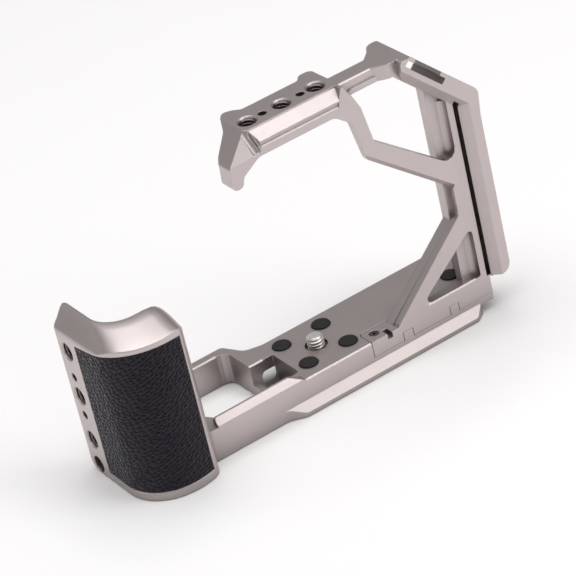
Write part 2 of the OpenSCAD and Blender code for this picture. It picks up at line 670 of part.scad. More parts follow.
// Grip
grip_turn = 22.6;                  // corner between the side and the nose
grip_turn_r = 17;
nose_x = 69.5;
turn_share = 0.9;                  // share of the front turn's radius that it needs along the front
nose_share = 6.25;                 // radius of the nose over the room left beside the front turn
nose_room = grip_left - nose_x - turn_share * grip_turn_r;
nose_r = nose_share * nose_room;
nose_end = 23;
nose_end_r = 6.5;
heel_r = 7;
leather_back = 5.2;
leather_end_share = 0.22;
leather_top = 57.1;                // leather's top edge on the grip's outer face
leather_tilt_x = 3.7;              // and its slope along X and across, in degrees
leather_tilt_y = 8.6;
crest_round = 6.4;
rim_z = 62.2;
rim_side_z = 59;
grip_hole_y = 12.3;
grip_hole_z = 32.6;

grip_outline = [[-grip_left, grip_back, 3 * edge], [-grip_left, -grip_turn, grip_turn_r],
    [-nose_x, -grip_nose, nose_r], [-grip_right, -nose_end, nose_end_r], [-grip_right, seat_y, edge],
    [wall_x, seat_y, seat_r], [wall_x, grip_back, 3 * edge]];
function bend(i) = corner(grip_outline[i - 1], grip_outline[i], grip_outline[i + 1]);
skin_path = concat([[-grip_left, leather_back]], bend(1), bend(2),
    [for (i = [0:floor(leather_end_share * steps(nose_end_r))]) bend(3)[i]]);
function along(v, i) = unit(v[min(i + 1, len(v) - 1)] - v[max(i - 1, 0)]);
function moved(v, d) = [for (i = [0:len(v) - 1]) v[i] + d * [along(v, i)[1], -along(v, i)[0]]];
function skin(out, in) = let (a = moved(skin_path, out), b = moved(skin_path, -in))
    concat(a, [for (i = [len(b) - 1:-1:0]) b[i]]);

// the grip's top rises from its rim to a crest that follows the camera's end;
// rows run from the rim to the crest, as shares of the width and of the rise
row_shares = [[-0.4, -0.9], [0, -0.13], [0.09, 0.03], [0.35, 0.34], [0.65, 0.8], [0.84, 1], [1.4, 1]];
side_steps = 2;
turn_steps = 8;
end_shares = [0.35, 0.62, 0.75, 0.87, 0.95, 1, 1.1];
turn_c = [-grip_left + grip_turn_r, -grip_nose + grip_turn_r + small_r];
seat_c = [wall_x + seat_r, seat_y + seat_r];
stations = concat(
    [for (i = [0:side_steps - 1]) let (s = i / side_steps)
        [[-grip_left, mixed(grip_back + over, turn_c[1], s)],
         [wall_x, mixed(grip_back + over, seat_c[1], s)], rim_side_z]],
    [for (i = [0:turn_steps]) let (s = i / turn_steps, a = 180 + 90 * s)
        [turn_c + [grip_turn_r * cos(a), (grip_turn_r + small_r) * sin(a)],
         seat_c + seat_r * [cos(a), sin(a)],
         mixed(rim_side_z, rim_z, sin(90 * min(1, 2 * s)))]],
    [for (s = end_shares)
        [[mixed(turn_c[0], -grip_right, s), -grip_nose], [mixed(seat_c[0], -grip_right, s), seat_y], rim_z]]);
function drop(x) = let (d = min(crest_round, max(0, x + grip_right + crest_round)))
    crest_round - sqrt(crest_round * crest_round - d * d);
function top_point(st, r) = let (p = mixed(st[0], st[1], r[0]))
    [p[0], p[1], st[2] + (grip_h - st[2]) * r[1] - drop(p[0])];
module top_space() {
    n = len(stations);
    m = len(row_shares);
    low = [for (st = stations) for (r = row_shares) top_point(st, r)];
    high = [for (p = low) [p[0], p[1], grip_h + crest_round]];
    top = n * m;
    rim = concat([for (i = [0:n - 1]) i * m], [for (j = [1:m - 1]) (n - 1) * m + j],
        [for (i = [n - 2:-1:0]) i * m + m - 1], [for (j = [m - 2:-1:1]) j]);
    polyhedron(points = concat(low, high), faces = concat(
        [for (i = [0:n - 2]) for (j = [0:m - 2]) each [
            [i * m + j, (i + 1) * m + j, (i + 1) * m + j + 1],
            [i * m + j, (i + 1) * m + j + 1, i * m + j + 1],
            [top + i * m + j, top + (i + 1) * m + j + 1, top + (i + 1) * m + j],
            [top + i * m + j, top + i * m + j + 1, top + (i + 1) * m + j + 1]]],
        [for (k = [0:len(rim) - 1]) each let (a = rim[k], b = rim[(k + 1) % len(rim)])
            [[a, top + a, top + b], [a, top + b, b]]]));
}
// everything above the leather's sloped top edge, raised by a gap
module above_leather(gap) {
    translate([-grip_left, 0, leather_top + gap]) rotate([-leather_tilt_y, leather_tilt_x, 0])
        translate([-grip_h, -grip_h, 0]) cube(3 * grip_h);
}

module grip_shell() {
    color(metal) difference() {
        intersection() {
            plan(grip_outline, 0, grip_h);
            side([[-grip_nose - over, 0, 0], [grip_back, 0, heel_r], [grip_back, grip_h + over, 0],
                [-grip_nose - over, grip_h + over, 0]], -grip_left - over, -grip_right + over);
        }
        top_space();
        difference() {
            translate([0, 0, rim_w - fit]) linear_extrude(grip_h)
                polygon(skin(over, leather_t - leather_proud + fit));
            above_leather(fit);
        }
        for (i = [-1:1]) {
            hole_x(-grip_left - over, wall_x + over, grip_hole_y, grip_hole_z + i * grip_pitch, screw_d);
            translate([-grip_left - bond, grip_hole_y, grip_hole_z + i * grip_pitch]) rotate([0, 90, 0])
                cylinder(h = sink_w + bond, d1 = screw_d + 2 * sink_w, d2 = screw_d);
        }
        for (i = [-1, 1])
            hole_x(-grip_left - over, -grip_left + pin_deep, grip_hole_y, grip_hole_z + i * pin_off,
                pin_hole_d);
        hole_x(-grip_left - over, -grip_left + side_hole_deep, side_screw_y, side_screw_z, side_hole_d);
        hole_x(-grip_left, wall_x + over, side_screw_y, side_screw_z, side_screw_d + 2 * fit);
        for (x = front_screw_x)
            hole_y(x, seat_y - front_screw_len, seat_y + over, front_screw_z, front_screw_d + fit / 2);
    }
}

module grip_leather() {
    color(leather) difference() {
        translate([0, 0, rim_w]) linear_extrude(grip_h)
            polygon(skin(leather_proud, leather_t - leather_proud));
        above_leather(0);
    }
}
module grip_side_screw() {
    color(steel) translate([-grip_left + side_hole_deep - side_screw_d, side_screw_y, side_screw_z])
        rotate([0, -90, 0]) cap_screw(side_screw_d, grip_wall);
}
module grip_front_screw(i) {
    color(steel) translate([front_screw_x[i], seat_y + rail_w, front_screw_z])
        rotate([-90, 0, 0]) cap_screw(front_screw_d, front_screw_len);
}

base_plate();
camera_screw();
screw_washer();
snap_ring();
pad(pad_spots[0]);  // pad_front_left
pad(pad_spots[1]);  // pad_front_right
pad(pad_spots[2]);  // pad_back_left
pad(pad_spots[3]);  // pad_back_right
pad(pad_spots[4]);  // pad_arm
side_arm();
arm_top_screw();
arm_foot_screw(0);  // arm_foot_screw_left
arm_foot_screw(1);  // arm_foot_screw_right
grip_shell();
grip_leather();
grip_side_screw();
grip_front_screw(0);  // grip_front_screw_left
grip_front_screw(1);  // grip_front_screw_right
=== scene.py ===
import math

import bmesh
import bpy
import numpy as np
from bpy.props import FloatProperty, FloatVectorProperty, PointerProperty
from mathutils import Matrix, Vector


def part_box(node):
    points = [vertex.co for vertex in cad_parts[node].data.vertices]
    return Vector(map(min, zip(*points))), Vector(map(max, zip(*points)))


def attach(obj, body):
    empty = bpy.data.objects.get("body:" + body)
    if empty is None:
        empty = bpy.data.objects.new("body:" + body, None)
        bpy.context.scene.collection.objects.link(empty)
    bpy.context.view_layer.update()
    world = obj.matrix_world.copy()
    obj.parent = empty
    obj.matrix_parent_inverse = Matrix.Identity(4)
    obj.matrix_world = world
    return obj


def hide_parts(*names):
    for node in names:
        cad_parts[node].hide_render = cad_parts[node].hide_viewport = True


bl_info = {
    "name": "Camera cage finishes",
    "version": (1, 0, 0),
    "blender": (4, 5, 0),
    "location": "3D View > Sidebar > Cage",
    "description": "Dresses the camera cage: metal, threads, rubber pads, leather and the stage",
    "category": "Object",
}

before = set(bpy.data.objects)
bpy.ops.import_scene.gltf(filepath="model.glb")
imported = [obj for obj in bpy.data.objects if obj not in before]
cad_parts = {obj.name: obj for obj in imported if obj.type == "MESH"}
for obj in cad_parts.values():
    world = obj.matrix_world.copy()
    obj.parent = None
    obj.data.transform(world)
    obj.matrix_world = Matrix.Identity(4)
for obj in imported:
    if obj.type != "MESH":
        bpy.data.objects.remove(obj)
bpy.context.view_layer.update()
MM = 0.001

# Triangles of a CAD node that lie nearer than this share their corners
JOIN = 0.002 * MM

# Depth of a quarter-inch thread's V, in pitches
V_DEPTH = 0.5413

# Threaded holes, in mm: the axes of the upright ones in the rail and of the level ones in the grip,
# and how far the threads reach along them
RAIL_HOLES_X = {"left": -9.6, "middle": 4.65, "right": 18.9}
RAIL_HOLES_Y = -7.0
RAIL_THREAD_Z = (102.4, 111.2)
GRIP_HOLES_Z = {"low": 14.1, "middle": 32.6, "high": 51.1}
GRIP_HOLES_Y = 12.3
GRIP_THREAD_X = (-87.4, -81.0)

# The grip's outline from above, in mm: corners, and the radii of the three that the leather goes round
GRIP_CORNERS = ((-88, 18.9), (-88, -22.6), (-69.5, -24.9), (-58.2, -23.0), (-58.2, -9.0))
GRIP_RADII = (17.0, 20.0, 6.5)

# The leather starts at this point of the outer face and ends part of the way round the last corner
LEATHER_START = (-88, 5.2)
LEATHER_LAST_TURN = 0.2

# The leather's top edge lies in a sloping plane, in mm: a point of the plane and its normal
LEATHER_TOP_POINT = (-88, 0, 57.1)
LEATHER_TOP_NORMAL = (0.0638, 0.1495, 0.9867)

# Name, place, what it points at, width and height in metres, and radiance
SOFTBOXES = (
    ("key_softbox", (0.55, -0.72, 1.07), (0, 0, 0.05), (0.75, 0.75), 2.05),
    ("top_softbox", (0.0, 0.1, 1.7), (0, 0.1, 0), (1.7, 1.7), 2.25),
    ("front_softbox", (0.95, -1.25, 0.5), (0, 0, 0.05), (0.6, 0.45), 3.4),
    ("left_softbox", (-1.6, 0.2, 0.5), (-0.08, 0, 0.05), (0.45, 0.45), 4.6),
    ("rim_softbox", (-1.0, 1.5, 0.75), (-0.05, 0, 0.05), (0.3, 0.3), 1.0),
)
STUDIO_COLOUR = "F7F5F5"
STUDIO_STRENGTH = 0.34

# The camera: place in metres, then turn, tilt and roll in degrees, and lens and sensor in mm
CAMERA_PLACE = (-0.4498, -0.8604, 0.6143)
CAMERA_ANGLES = (27.3, 30.7, 13.55)
CAMERA_LENS = 200.0
CAMERA_SENSOR = 36.0


# Sizes and colours


def linear(code):
    """A hex sRGB colour as linear red, green and blue, by the sRGB curve."""
    s = [int(code[i : i + 2], 16) / 255 for i in (0, 2, 4)]
    return [c / 12.92 if c <= 0.04045 else ((c + 0.055) / 1.055) ** 2.4 for c in s]


def length(name, description, millimetres):
    """A length in the sidebar."""
    return FloatProperty(name=name, description=description, default=millimetres * MM, unit="LENGTH")


def colour(name, description, code):
    """A colour in the sidebar, from its hex sRGB value."""
    return FloatVectorProperty(
        name=name, description=description, subtype="COLOR", default=linear(code)
    )


class CageSizes(bpy.types.PropertyGroup):
    """Sizes of the details that only the scene has."""

    edge_round: length("Edge radius", "Radius of the tumbled edges of the metal", 0.36)
    grip_round: length("Grip edge radius", "Radius of the grip's softer edges", 0.8)
    blast_grain: length("Blast grain", "Width of one dimple of the blasted surface", 0.45)
    # Painted shade: the aluminium's colour is darkened where other walls stand within this reach, down
    # to the share below
    painted_shade_reach: length("Pocket reach", "How near other walls darken a face", 14)
    painted_shade_share: FloatProperty(
        name="Pocket shade",
        description="Share of the colour left deep in a pocket",
        default=0.5,
        min=0,
        max=1,
    )
    thread_pitch: length("Thread pitch", "Rise of a quarter-inch thread in one turn", 1.27)
    thread_width: length("Thread diameter", "Crest diameter of a quarter-inch thread", 6.35)
    thread_length: length("Thread length", "Threaded end of the camera screw", 4.0)
    tip_bevel: length("Screw tip", "Height of the bevel at the tip of the camera screw", 0.9)
    dot_pitch: length("Dot pitch", "Spacing of the moulded dots on a pad", 0.95)
    dot_height: length("Dot height", "Height of the moulded dots on a pad", 0.16)
    grain_length: length("Grain length", "Length of one pebble of the leather", 2.3)
    grain_width: length("Grain width", "Width of one pebble of the leather", 1.4)
    grain_depth: length("Grain depth", "Depth of the creases between pebbles", 0.72)


class CageColours(bpy.types.PropertyGroup):
    """Base colours of the finishes."""

    aluminium: colour("Aluminium", "Warm grey anodised layer", "C5BBBA")
    # Painted shade: the threads' colour is darker, to stand for the shade inside the holes
    thread: colour("Threads", "Cut threads in the aluminium", "6A605F")
    steel: colour("Steel", "Bare stainless steel", "F0EBE8")
    black_steel: colour("Black steel", "Blackened screws", "6E6765")
    rubber: colour("Rubber", "Moulded black rubber", "121114")
    leather: colour("Leather", "Black dyed leather", "0F0C13")
    floor: colour("Floor", "Matt white table", "FCFBFB")


# Meshes


def grid_quads(rows, cols, round_rows=False, round_cols=False):
    """Quads of a grid of rows times cols points, counted row by row. A round direction joins its last
    line to its first."""
    r = np.arange(rows if round_rows else rows - 1)[:, None]
    c = np.arange(cols if round_cols else cols - 1)[None, :]
    r2, c2 = (r + 1) % rows, (c + 1) % cols
    quads = np.stack([r * cols + c, r * cols + c2, r2 * cols + c2, r2 * cols + c], axis=-1)
    return quads.reshape(-1, 4)


def round_angles(columns):
    """Angles evenly round a full circle, as one row."""
    return np.linspace(0, 2 * math.pi, columns, endpoint=False)[None, :]


def add_piece(name, points, faces, material, body, sharp=35):
    """Makes one named piece from points in metres and lists of faces. It is smooth but for the edges
    that are sharper than an angle in degrees."""
    mesh = bpy.data.meshes.new(name)
    mesh.from_pydata(np.asarray(points, float).tolist(), [], [list(map(int, f)) for f in faces])
    if mesh.validate(verbose=False):
        raise RuntimeError(f"{name} has faces that aren't sound")
    mesh.shade_smooth()
    mesh.set_sharp_from_angle(angle=math.radians(sharp))
    mesh.materials.append(material)
    piece = bpy.data.objects.new(name, mesh)
    bpy.context.scene.collection.objects.link(piece)
    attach(piece, body)
    return piece


def joined_copy(name):
    """A copy of a CAD node's mesh whose loose triangles are joined, so its round faces can be shaded
    smooth. The node's own mesh is only read."""
    mesh = bmesh.new()
    mesh.from_mesh(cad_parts[name].data)
    bmesh.ops.remove_doubles(mesh, verts=mesh.verts, dist=JOIN)
    return mesh


def read_out(mesh):
    """Points and triangles of a working mesh as whole arrays. The working mesh is freed."""
    bmesh.ops.triangulate(mesh, faces=mesh.faces)
    held = bpy.data.meshes.new("held")
    mesh.to_mesh(held)
    mesh.free()
    points = np.empty(3 * len(held.vertices), dtype=np.float32)
    held.vertices.foreach_get("co", points)
    corners = np.empty(len(held.loops), dtype=np.int32)
    held.loops.foreach_get("vertex_index", corners)
    bpy.data.meshes.remove(held)
    return points.reshape(-1, 3), corners.reshape(-1, 3).tolist()


def thread_depth(turn, pitch):
    """Depth of a V thread below its crest, where turn is the place across one pitch from 0 to 1:
    an eighth of the pitch is crest, a quarter is root, and straight flanks join them."""
    crest, root = 0.125, 0.25
    off = np.abs((turn % 1) - 0.5) * 2
    return V_DEPTH * pitch * np.clip((1 - crest - off) / (1 - crest - root), 0, 1)


# Materials


def add_node(tree, kind, inputs=None, **settings):
    """Adds one shader node: settings are its own options, inputs are values or links for its sockets."""
    new = tree.nodes.new("ShaderNode" + kind)
    for key, value in settings.items():
        setattr(new, key, value)
    for key, value in (inputs or {}).items():
        if isinstance(value, bpy.types.NodeSocket):
            tree.links.new(value, new.inputs[key])
        else:
            new.inputs[key].default_value = value
    return new


def set_stops(ramp, *stops):
    """Sets a colour ramp's stops, each a place from 0 to 1 and a colour."""
    for stop, (place, tone) in zip(ramp.color_ramp.elements, stops):
        stop.position = place
        stop.color = (*tone, 1)


def new_material(name):
    """An empty material with its output; returns the material, its tree and the output node."""
    made = bpy.data.materials.new(name)
    made.use_nodes = True
    made.node_tree.nodes.clear()
    return made, made.node_tree, add_node(made.node_tree, "OutputMaterial")


def shaded(tree, tone, reach, share, low, high):
    """Painted shade: a colour that falls to a share of itself where other walls stand nearer than the
    reach. Low and high are the shares of open sky between which it falls."""
    sky = add_node(tree, "AmbientOcclusion", {"Distance": reach}, samples=8)
    deep = add_node(tree, "ValToRGB", {"Fac": sky.outputs["AO"]})
    set_stops(deep, (low, (share, share, share)), (high, (1, 1, 1)))
    # A Mix node's colours are its sockets 6 and 7 and its output 2, whose names its numbers share
    both = add_node(
        tree,
        "Mix",
        {"Factor": 1.0, 6: tone, 7: deep.outputs["Color"]},
        data_type="RGBA",
        blend_type="MULTIPLY",
    )
    return both.outputs[2]


def anodised_aluminium(name, sizes, colours, edge_round):
    """Machined aluminium, bead blasted, then anodised warm grey. Blasting gives the even silky
    sheen, and tumbled edges catch a thin bright line. Pockets and channels get painted shade: the
    colour is darkened where other walls stand near. The real dimples are under 0.1 mm wide, too fine
    to show, so they are drawn about 0.45 mm wide. The dye varies a little in clouds about 17 mm wide."""
    clouds_per_metre, faint = 60.0, 0.965
    made, tree, out = new_material(name)
    place = add_node(tree, "TexCoord").outputs["Object"]
    grain = add_node(
        tree, "TexNoise", {"Vector": place, "Scale": 1 / sizes.blast_grain, "Detail": 2.0}
    )
    cloud = add_node(tree, "TexNoise", {"Vector": place, "Scale": clouds_per_metre, "Detail": 3.0})
    tint = add_node(tree, "ValToRGB", {"Fac": cloud.outputs["Fac"]})
    base = np.array(colours.aluminium)
    set_stops(tint, (0.3, base * faint), (0.7, base))
    rough = add_node(
        tree,
        "MapRange",
        {
            "Value": grain.outputs["Fac"],
            "From Min": 0.3,
            "From Max": 0.7,
            "To Min": 0.36,
            "To Max": 0.44,
        },
    )
    edge = add_node(tree, "Bevel", {"Radius": edge_round}, samples=6)
    bump = add_node(
        tree,
        "Bump",
        {
            "Height": grain.outputs["Fac"],
            "Normal": edge.outputs["Normal"],
            "Strength": 0.12,
            "Distance": 0.05 * MM,
        },
    )
    # Painted shade: the colour is darker in pockets and channels, where other walls stand near
    tone = shaded(tree, tint.outputs["Color"], sizes.painted_shade_reach, sizes.painted_shade_share, 0.3, 0.95)
    skin = add_node(
        tree,
        "BsdfPrincipled",
        {
            "Base Color": tone,
            "Metallic": 1.0,
            "Roughness": rough.outputs["Result"],
            "Normal": bump.outputs["Normal"],
        },
    )
    tree.links.new(skin.outputs["BSDF"], out.inputs["Surface"])
    return made


def cut_aluminium(colours):
    """Threads cut into the aluminium after blasting: the tool leaves fine marks 0.15 mm apart. Their
    colour is darker than the blasted faces' as painted shade inside the holes."""
    marks_per_metre = 6500.0
    made, tree, out = new_material("cut_aluminium_thread_in_painted_shade")
    place = add_node(tree, "TexCoord").outputs["Object"]
    marks = add_node(tree, "TexNoise", {"Vector": place, "Scale": marks_per_metre, "Detail": 1.0})
    rough = add_node(
        tree, "MapRange", {"Value": marks.outputs["Fac"], "To Min": 0.24, "To Max": 0.4}
    )
    # The darker thread colour is painted shade inside the holes
    skin = add_node(
        tree,
        "BsdfPrincipled",
        {
            "Base Color": (*colours.thread, 1),
            "Metallic": 1.0,
            "Roughness": rough.outputs["Result"],
        },
    )
    tree.links.new(skin.outputs["BSDF"], out.inputs["Surface"])
    return made


def turned_steel(name, base, roughness):
    """Stainless steel turned on a lathe, with fine rings about 0.2 mm apart that streak its gloss. Its
    colour is darkened in the roots of its threads and in its recesses as painted shade."""
    rings_per_metre, streak = 5000.0, 0.05
    edge_round, root_shade_reach, root_shade_share = 0.12 * MM, 1.2 * MM, 0.12
    made, tree, out = new_material(name)
    place = add_node(tree, "TexCoord").outputs["Object"]
    squeezed = add_node(tree, "Mapping", {"Vector": place, "Scale": (streak, streak, 1.0)})
    rings = add_node(
        tree,
        "TexNoise",
        {"Vector": squeezed.outputs["Vector"], "Scale": rings_per_metre, "Detail": 2.0},
    )
    rough = add_node(
        tree,
        "MapRange",
        {
            "Value": rings.outputs["Fac"],
            "To Min": roughness - 0.06,
            "To Max": roughness + 0.08,
        },
    )
    edge = add_node(tree, "Bevel", {"Radius": edge_round}, samples=4)
    # The base colour carries painted shade in the thread roots and recesses
    skin = add_node(
        tree,
        "BsdfPrincipled",
        {
            "Base Color": shaded(tree, (*base, 1), root_shade_reach, root_shade_share, 0.3, 0.85),
            "Metallic": 1.0,
            "Roughness": rough.outputs["Result"],
            "Normal": edge.outputs["Normal"],
        },
    )
    tree.links.new(skin.outputs["BSDF"], out.inputs["Surface"])
    return made


def moulded_rubber(colours):
    """Moulded black rubber, dull, with a bloom that greys it in patches a few tenths of a millimetre
    wide."""
    patches_per_metre, dark, pale = 2500.0, 0.75, 1.5
    made, tree, out = new_material("moulded_rubber")
    place = add_node(tree, "TexCoord").outputs["Object"]
    bloom = add_node(tree, "TexNoise", {"Vector": place, "Scale": patches_per_metre, "Detail": 3.0})
    base = np.array(colours.rubber)
    tint = add_node(tree, "ValToRGB", {"Fac": bloom.outputs["Fac"]})
    set_stops(tint, (0, base * dark), (1, base * pale))
    bump = add_node(
        tree, "Bump", {"Height": bloom.outputs["Fac"], "Strength": 0.3, "Distance": 0.05 * MM}
    )
    skin = add_node(
        tree,
        "BsdfPrincipled",
        {
            "Base Color": tint.outputs["Color"],
            "Roughness": 0.5,
            "IOR": 1.5,
            "Specular IOR Level": 0.4,
            "Normal": bump.outputs["Normal"],
        },
    )
    tree.links.new(skin.outputs["BSDF"], out.inputs["Surface"])
    return made


def pebbled_leather(colours):
    """Dyed and embossed leather. The pebbles are in the mesh; pores and fine wrinkles about 0.45 mm
    apart break up the wax gloss that the tops of the pebbles catch, and the fine nap of the hide gives
    a faint sheen at a low angle."""
    wrinkles_per_metre, dark, pale = 2200.0, 0.6, 1.7
    made, tree, out = new_material("pebbled_leather")
    place = add_node(tree, "TexCoord").outputs["Object"]
    wrinkle = add_node(
        tree,
        "TexNoise",
        {
            "Vector": place,
            "Scale": wrinkles_per_metre,
            "Detail": 4.0,
            "Roughness": 0.65,
            "Distortion": 0.6,
        },
    )
    base = np.array(colours.leather)
    tint = add_node(tree, "ValToRGB", {"Fac": wrinkle.outputs["Fac"]})
    set_stops(tint, (0, base * dark), (1, base * pale))
    rough = add_node(
        tree, "MapRange", {"Value": wrinkle.outputs["Fac"], "To Min": 0.24, "To Max": 0.4}
    )
    bump = add_node(
        tree, "Bump", {"Height": wrinkle.outputs["Fac"], "Strength": 0.7, "Distance": 0.1 * MM}
    )
    skin = add_node(
        tree,
        "BsdfPrincipled",
        {
            "Base Color": tint.outputs["Color"],
            "Roughness": rough.outputs["Result"],
            "IOR": 1.45,
            "Specular IOR Level": 0.34,
            "Specular Tint": (0.94, 0.88, 1.0, 1),
            "Sheen Weight": 0.2,
            "Sheen Roughness": 0.35,
            "Sheen Tint": (0.9, 0.86, 0.95, 1),
            "Normal": bump.outputs["Normal"],
        },
    )
    tree.links.new(skin.outputs["BSDF"], out.inputs["Surface"])
    return made


def finish_node(name, material):
    """Gives a CAD node one finish over all its faces, through its object's material slots. The node's
    mesh stays as it is."""
    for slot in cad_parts[name].material_slots:
        slot.material = material


# Metal and fasteners


class CAGE_OT_metal(bpy.types.Operator):
    """Anodised aluminium on the base and the arm"""

    bl_idname = "cage.metal"
    bl_label = "Anodised metal"

    def execute(self, context):
        sizes, colours = context.scene.cage_sizes, context.scene.cage_colours
        metal = anodised_aluminium("anodised_aluminium_blasted", sizes, colours, sizes.edge_round)
        for name in ("base_plate", "side_arm"):
            finish_node(name, metal)
        return {"FINISHED"}


class CAGE_OT_grip(bpy.types.Operator):
    """The grip's shell with smooth round faces"""

    bl_idname = "cage.grip"
    bl_label = "Grip shell"

    def execute(self, context):
        sizes, colours = context.scene.cage_sizes, context.scene.cage_colours
        soft = anodised_aluminium(
            "anodised_aluminium_hand_rounded", sizes, colours, sizes.grip_round
        )
        points, faces = read_out(joined_copy("grip_shell"))
        piece = add_piece("grip_shell_smooth", points, faces, soft, "cage", sharp=40)
        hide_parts("grip_shell")
        return {"FINISHED"}


class CAGE_OT_fasteners(bpy.types.Operator):
    """Steel on the small screws and the ring, rubber on the washer"""

    bl_idname = "cage.fasteners"
    bl_label = "Fasteners"

    def execute(self, context):
        colours = context.scene.cage_colours
        black = turned_steel("blackened_steel", colours.black_steel, roughness=0.3)
        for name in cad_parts:
            if name.startswith(("arm_", "grip_")) and "screw" in name:
                finish_node(name, black)
        finish_node("snap_ring", turned_steel("spring_steel", colours.steel, roughness=0.32))
        finish_node("screw_washer", moulded_rubber(colours))
        return {"FINISHED"}


# Threads


class CAGE_OT_camera_screw(bpy.types.Operator):
    """The captive screw with its real thread"""

    bl_idname = "cage.camera_screw"
    bl_label = "Camera screw"

    def execute(self, context):
        sizes, colours = context.scene.cage_sizes, context.scene.cage_colours
        neck, overlap = 0.5 * MM, 0.1 * MM
        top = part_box("camera_screw")[1].z
        thread_low = top - sizes.thread_length
        cut = thread_low - neck
        low_points, low_faces = lower_part("camera_screw", cut)
        points, faces = threaded_tip(sizes, cut - overlap, thread_low, top)
        faces = [[i + len(low_points) for i in face] for face in faces]
        piece = add_piece(
            "camera_screw_threaded",
            np.vstack([low_points, points]),
            low_faces + faces,
            turned_steel("stainless_steel_turned", colours.steel, roughness=0.38),
            "screw",
        )
        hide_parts("camera_screw")
        return {"FINISHED"}


def lower_part(name, height):
    """Points and faces of a joined copy of a CAD node, cut off level at a height and closed there."""
    mesh = joined_copy(name)
    cut = bmesh.ops.bisect_plane(
        mesh,
        geom=mesh.verts[:] + mesh.edges[:] + mesh.faces[:],
        plane_co=(0, 0, height),
        plane_no=(0, 0, 1),
        clear_outer=True,
    )
    rim = [e for e in cut["geom_cut"] if isinstance(e, bmesh.types.BMEdge)]
    bmesh.ops.holes_fill(mesh, edges=rim)
    return read_out(mesh)


def threaded_tip(sizes, low, start, top):
    """The screw's upper end on a grid of angle and height: its radius is the undercut's up to the
    thread's start, then the thread's crest less the V's depth at (height / pitch - angle), and near
    the top no more than a cone's."""
    columns, levels = 96, 72
    undercut, run_in, cone_loss = 0.5 * MM, 0.05 * MM, 0.27
    radius = sizes.thread_width / 2
    pitch = sizes.thread_pitch
    angle = round_angles(columns)
    height = np.concatenate([[low, start - run_in], np.linspace(start, top, levels)])[:, None]
    turn = height / pitch - angle / (2 * math.pi)
    crest = radius - thread_depth(turn, pitch)
    rise = np.clip((height - (top - sizes.tip_bevel)) / sizes.tip_bevel, 0, 1)
    cone = radius * (1 - cone_loss * rise)
    r = np.minimum(crest, cone)
    r = np.where(height < start, radius - undercut, r)
    x, y = r * np.cos(angle), r * np.sin(angle)
    ring = np.stack([x, y, np.broadcast_to(height, x.shape)], axis=-1).reshape(-1, 3)
    rows, cols = x.shape
    faces = grid_quads(rows, cols, round_cols=True).tolist()
    low_middle, top_middle = rows * cols, rows * cols + 1
    points = np.vstack([ring, [[0, 0, low], [0, 0, top]]])
    around = np.arange(cols)
    nxt = (around + 1) % cols
    last = (rows - 1) * cols
    faces += np.stack([nxt, around, np.full(cols, low_middle)], axis=1).tolist()
    faces += np.stack([last + around, last + nxt, np.full(cols, top_middle)], axis=1).tolist()
    return points, faces


class CAGE_OT_threads(bpy.types.Operator):
    """Quarter-inch threads in the three rail holes and the three grip holes"""

    bl_idname = "cage.threads"
    bl_label = "Threads in the holes"

    def execute(self, context):
        sizes, colours = context.scene.cage_sizes, context.scene.cage_colours
        metal = cut_aluminium(colours)
        low, high = (end * MM for end in RAIL_THREAD_Z)
        for name, x in RAIL_HOLES_X.items():
            points, faces = thread_sleeve(sizes, low, high)
            points += np.array([x, RAIL_HOLES_Y, 0]) * MM
            add_piece(f"rail_thread_{name}", points, faces, metal, "cage")
        low, high = (end * MM for end in GRIP_THREAD_X)
        for name, z in GRIP_HOLES_Z.items():
            points, faces = thread_sleeve(sizes, low, high)
            points = points[:, [2, 0, 1]] + np.array([0, GRIP_HOLES_Y, z]) * MM
            add_piece(f"grip_thread_{name}", points, faces, metal, "cage")
        return {"FINISHED"}


def thread_sleeve(sizes, low, high):
    """An inner thread on a grid of angle and a closed profile. The profile goes up the bore's wall and
    comes down the thread, whose radius is the wall's less the ridge left between the V cuts; the ridge
    fades in over half a turn at each end."""
    columns, rows_in_pitch = 72, 14
    stand_off, behind, fade_turn = 0.01 * MM, 0.03 * MM, 0.5
    wall = sizes.thread_width / 2
    pitch = sizes.thread_pitch
    angle = round_angles(columns)
    down = np.linspace(high, low, int((high - low) / pitch * rows_in_pitch))[:, None]
    turn = down / pitch - angle / (2 * math.pi)
    ridge = V_DEPTH * pitch - thread_depth(turn, pitch)
    fade = np.clip(np.minimum(high - down, down - low) / (fade_turn * pitch), 0, 1)
    inner = wall - stand_off - ridge * fade
    outer = np.full((2, columns), wall + behind)
    r = np.vstack([outer, inner])
    z = np.vstack([[[low]], [[high]], down]) + np.zeros_like(r)
    points = np.stack([r * np.cos(angle), r * np.sin(angle), z], axis=-1).reshape(-1, 3)
    faces = grid_quads(len(r), columns, round_rows=True, round_cols=True)
    return points, faces.tolist()


# Rubber pads


class CAGE_OT_pads(bpy.types.Operator):
    """Rubber pads with moulded dots"""

    bl_idname = "cage.pads"
    bl_label = "Rubber pads"

    def execute(self, context):
        sizes, colours = context.scene.cage_sizes, context.scene.cage_colours
        rubber = moulded_rubber(colours)
        for name in [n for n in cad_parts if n.startswith("pad_")]:
            low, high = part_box(name)
            points, faces = dotted_pad(sizes, low, high)
            piece = add_piece(f"{name}_dotted", points, faces, rubber, "cage", sharp=60)
            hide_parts(name)
        return {"FINISHED"}


